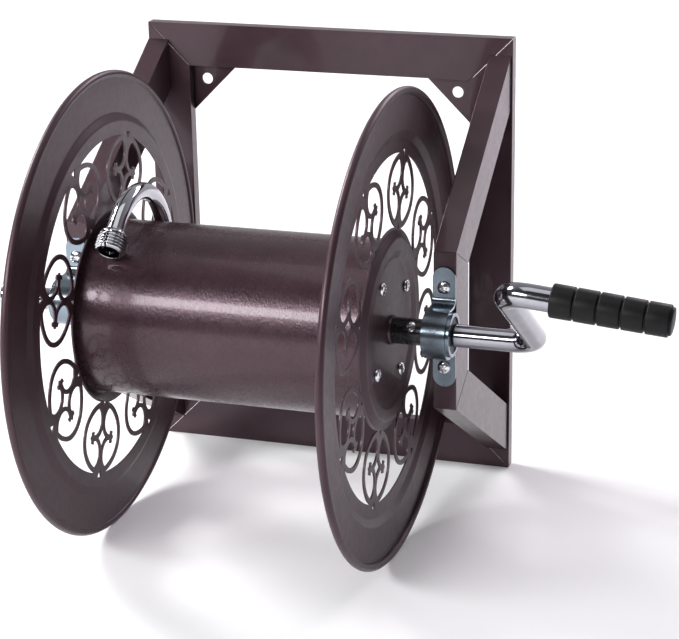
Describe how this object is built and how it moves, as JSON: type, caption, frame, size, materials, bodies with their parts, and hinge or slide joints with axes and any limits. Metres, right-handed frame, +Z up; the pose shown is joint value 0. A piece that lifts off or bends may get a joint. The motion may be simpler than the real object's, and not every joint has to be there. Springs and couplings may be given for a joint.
{
  "type": "garden hose reel",
  "caption": "Wall-mounted hose reel: pierced discs on a drum turn between bracket arms, with a hand crank on one side and a swivel water inlet on the other.",
  "frame": {"origin": "centre of the four wall bolts, on the wall plane", "axes": "+X along the axle towards the crank, +Y into the wall, +Z up"},
  "size_m": [0.6523, 0.447, 0.436],
  "materials": {
    "bronze_paint": "dark bronze powder coat, satin gloss with fine orange peel",
    "zinc_plate": "bright zinc plating, bluish",
    "screw_chrome": "bright nickel plating",
    "plain_steel": "plain steel",
    "black_nylon": "moulded nylon",
    "black_tube": "black gloss paint on steel tube",
    "chrome_plate": "polished chrome plating",
    "grip_plastic": "moulded black plastic, soft sheen",
    "brass_cast": "machined brass",
    "ring_rubber": "black rubber"
  },
  "bodies": {
    "frame": {"frame_top_rail": "bronze_paint", "frame_bottom_rail": "bronze_paint", "frame_left_stile": "bronze_paint", "frame_right_stile": "bronze_paint", "corner_gussets": "bronze_paint", "left_upper_strut": "bronze_paint", "left_front_post": "bronze_paint", "left_lower_strut": "bronze_paint", "right_upper_strut": "bronze_paint", "right_front_post": "bronze_paint", "right_lower_strut": "bronze_paint", "left_bearing_strap": "zinc_plate", "right_bearing_strap": "zinc_plate", "left_strap_screws": "screw_chrome", "right_strap_screws": "screw_chrome", "left_bearing_sleeve": "zinc_plate", "right_bearing_sleeve": "zinc_plate", "left_bearing_bush": "black_nylon", "right_bearing_bush": "black_nylon"},
    "reel": {"left_disc": "bronze_paint", "right_disc": "bronze_paint", "drum_barrel": "bronze_paint", "left_end_plate": "plain_steel", "right_end_plate": "plain_steel", "left_hub_bolts": "screw_chrome", "right_hub_bolts": "screw_chrome", "left_hub_nuts": "plain_steel", "right_hub_nuts": "plain_steel", "axle_tube": "black_tube", "left_hub_collar": "bronze_paint", "right_hub_collar": "bronze_paint", "crank_tube": "chrome_plate", "axle_screw": "screw_chrome", "handle_end_cap": "grip_plastic", "water_block": "brass_cast", "outlet_pipe": "chrome_plate", "outlet_thread": "chrome_plate", "inlet_pipe": "chrome_plate", "inlet_o_rings": "ring_rubber", "inlet_clip": "plain_steel"},
    "grip": {"crank_grip": "grip_plastic"},
    "swivel": {"inlet_swivel": "chrome_plate"}
  },
  "joints": [
    {"name": "reel_spin", "type": "hinge", "parent": "frame", "child": "reel", "pos_m": [0, -0.231, -0.002], "axis": [1, 0, 0], "continuous": true},
    {"name": "grip_spin", "type": "hinge", "parent": "reel", "child": "grip", "pos_m": [0.35159, -0.36947, 0.08111], "axis": [0.9954, -0.0006, -0.0957], "continuous": true},
    {"name": "inlet_turn", "type": "hinge", "parent": "frame", "child": "swivel", "pos_m": [-0.2333, -0.231, -0.002], "axis": [1, 0, 0], "continuous": true}
  ]
}
